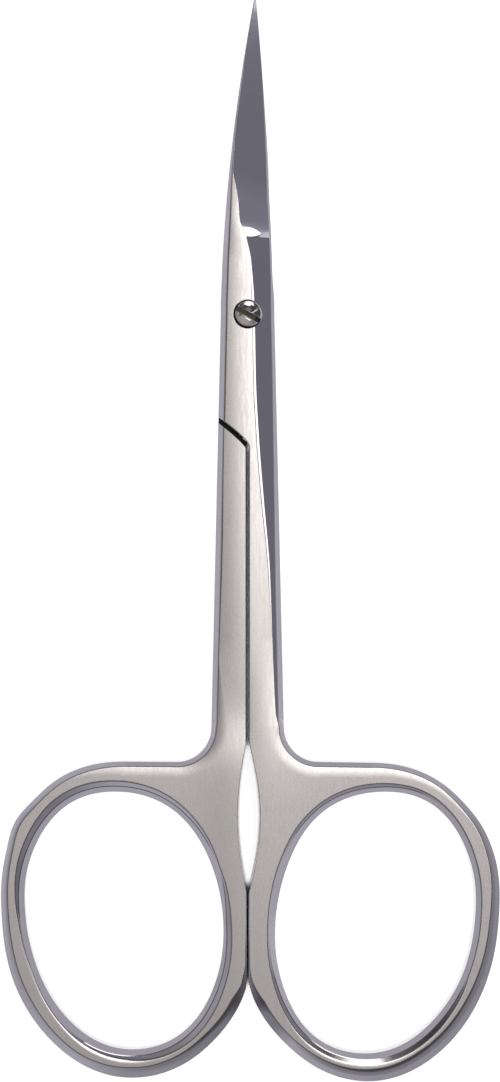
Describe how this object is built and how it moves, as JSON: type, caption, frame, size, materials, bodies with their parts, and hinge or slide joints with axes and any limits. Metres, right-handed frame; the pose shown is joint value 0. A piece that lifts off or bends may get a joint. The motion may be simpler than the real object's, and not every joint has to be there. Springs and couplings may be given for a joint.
{
  "type": "cuticle scissors",
  "caption": "Curved-tip cuticle scissors: two steel halves with oval finger loops cross at a slotted pivot screw and open like a hinge.",
  "frame": {"origin": "on the pivot axis, at the flat back on which the closed scissors lie", "axes": "+Y from the pivot along the closed blades to the tips, +X to the right seen from the front, +Z out of the front, along the pivot axis and out of the screw's head"},
  "size_m": [0.0463, 0.1002, 0.0053],
  "materials": {
    "satin_steel": "finely satined on the faces, polished on the bevels",
    "polished_steel": "polished, with a plain milled slot"
  },
  "bodies": {
    "back": {"back_half": "satin_steel", "pivot_screw": "polished_steel"},
    "front": {"front_half": "satin_steel"}
  },
  "joints": [
    {"name": "blade_pivot", "type": "hinge", "parent": "back", "child": "front", "pos_m": [0, 0, 0], "axis": [0, 0, 1], "range_deg": [0, 150]}
  ]
}
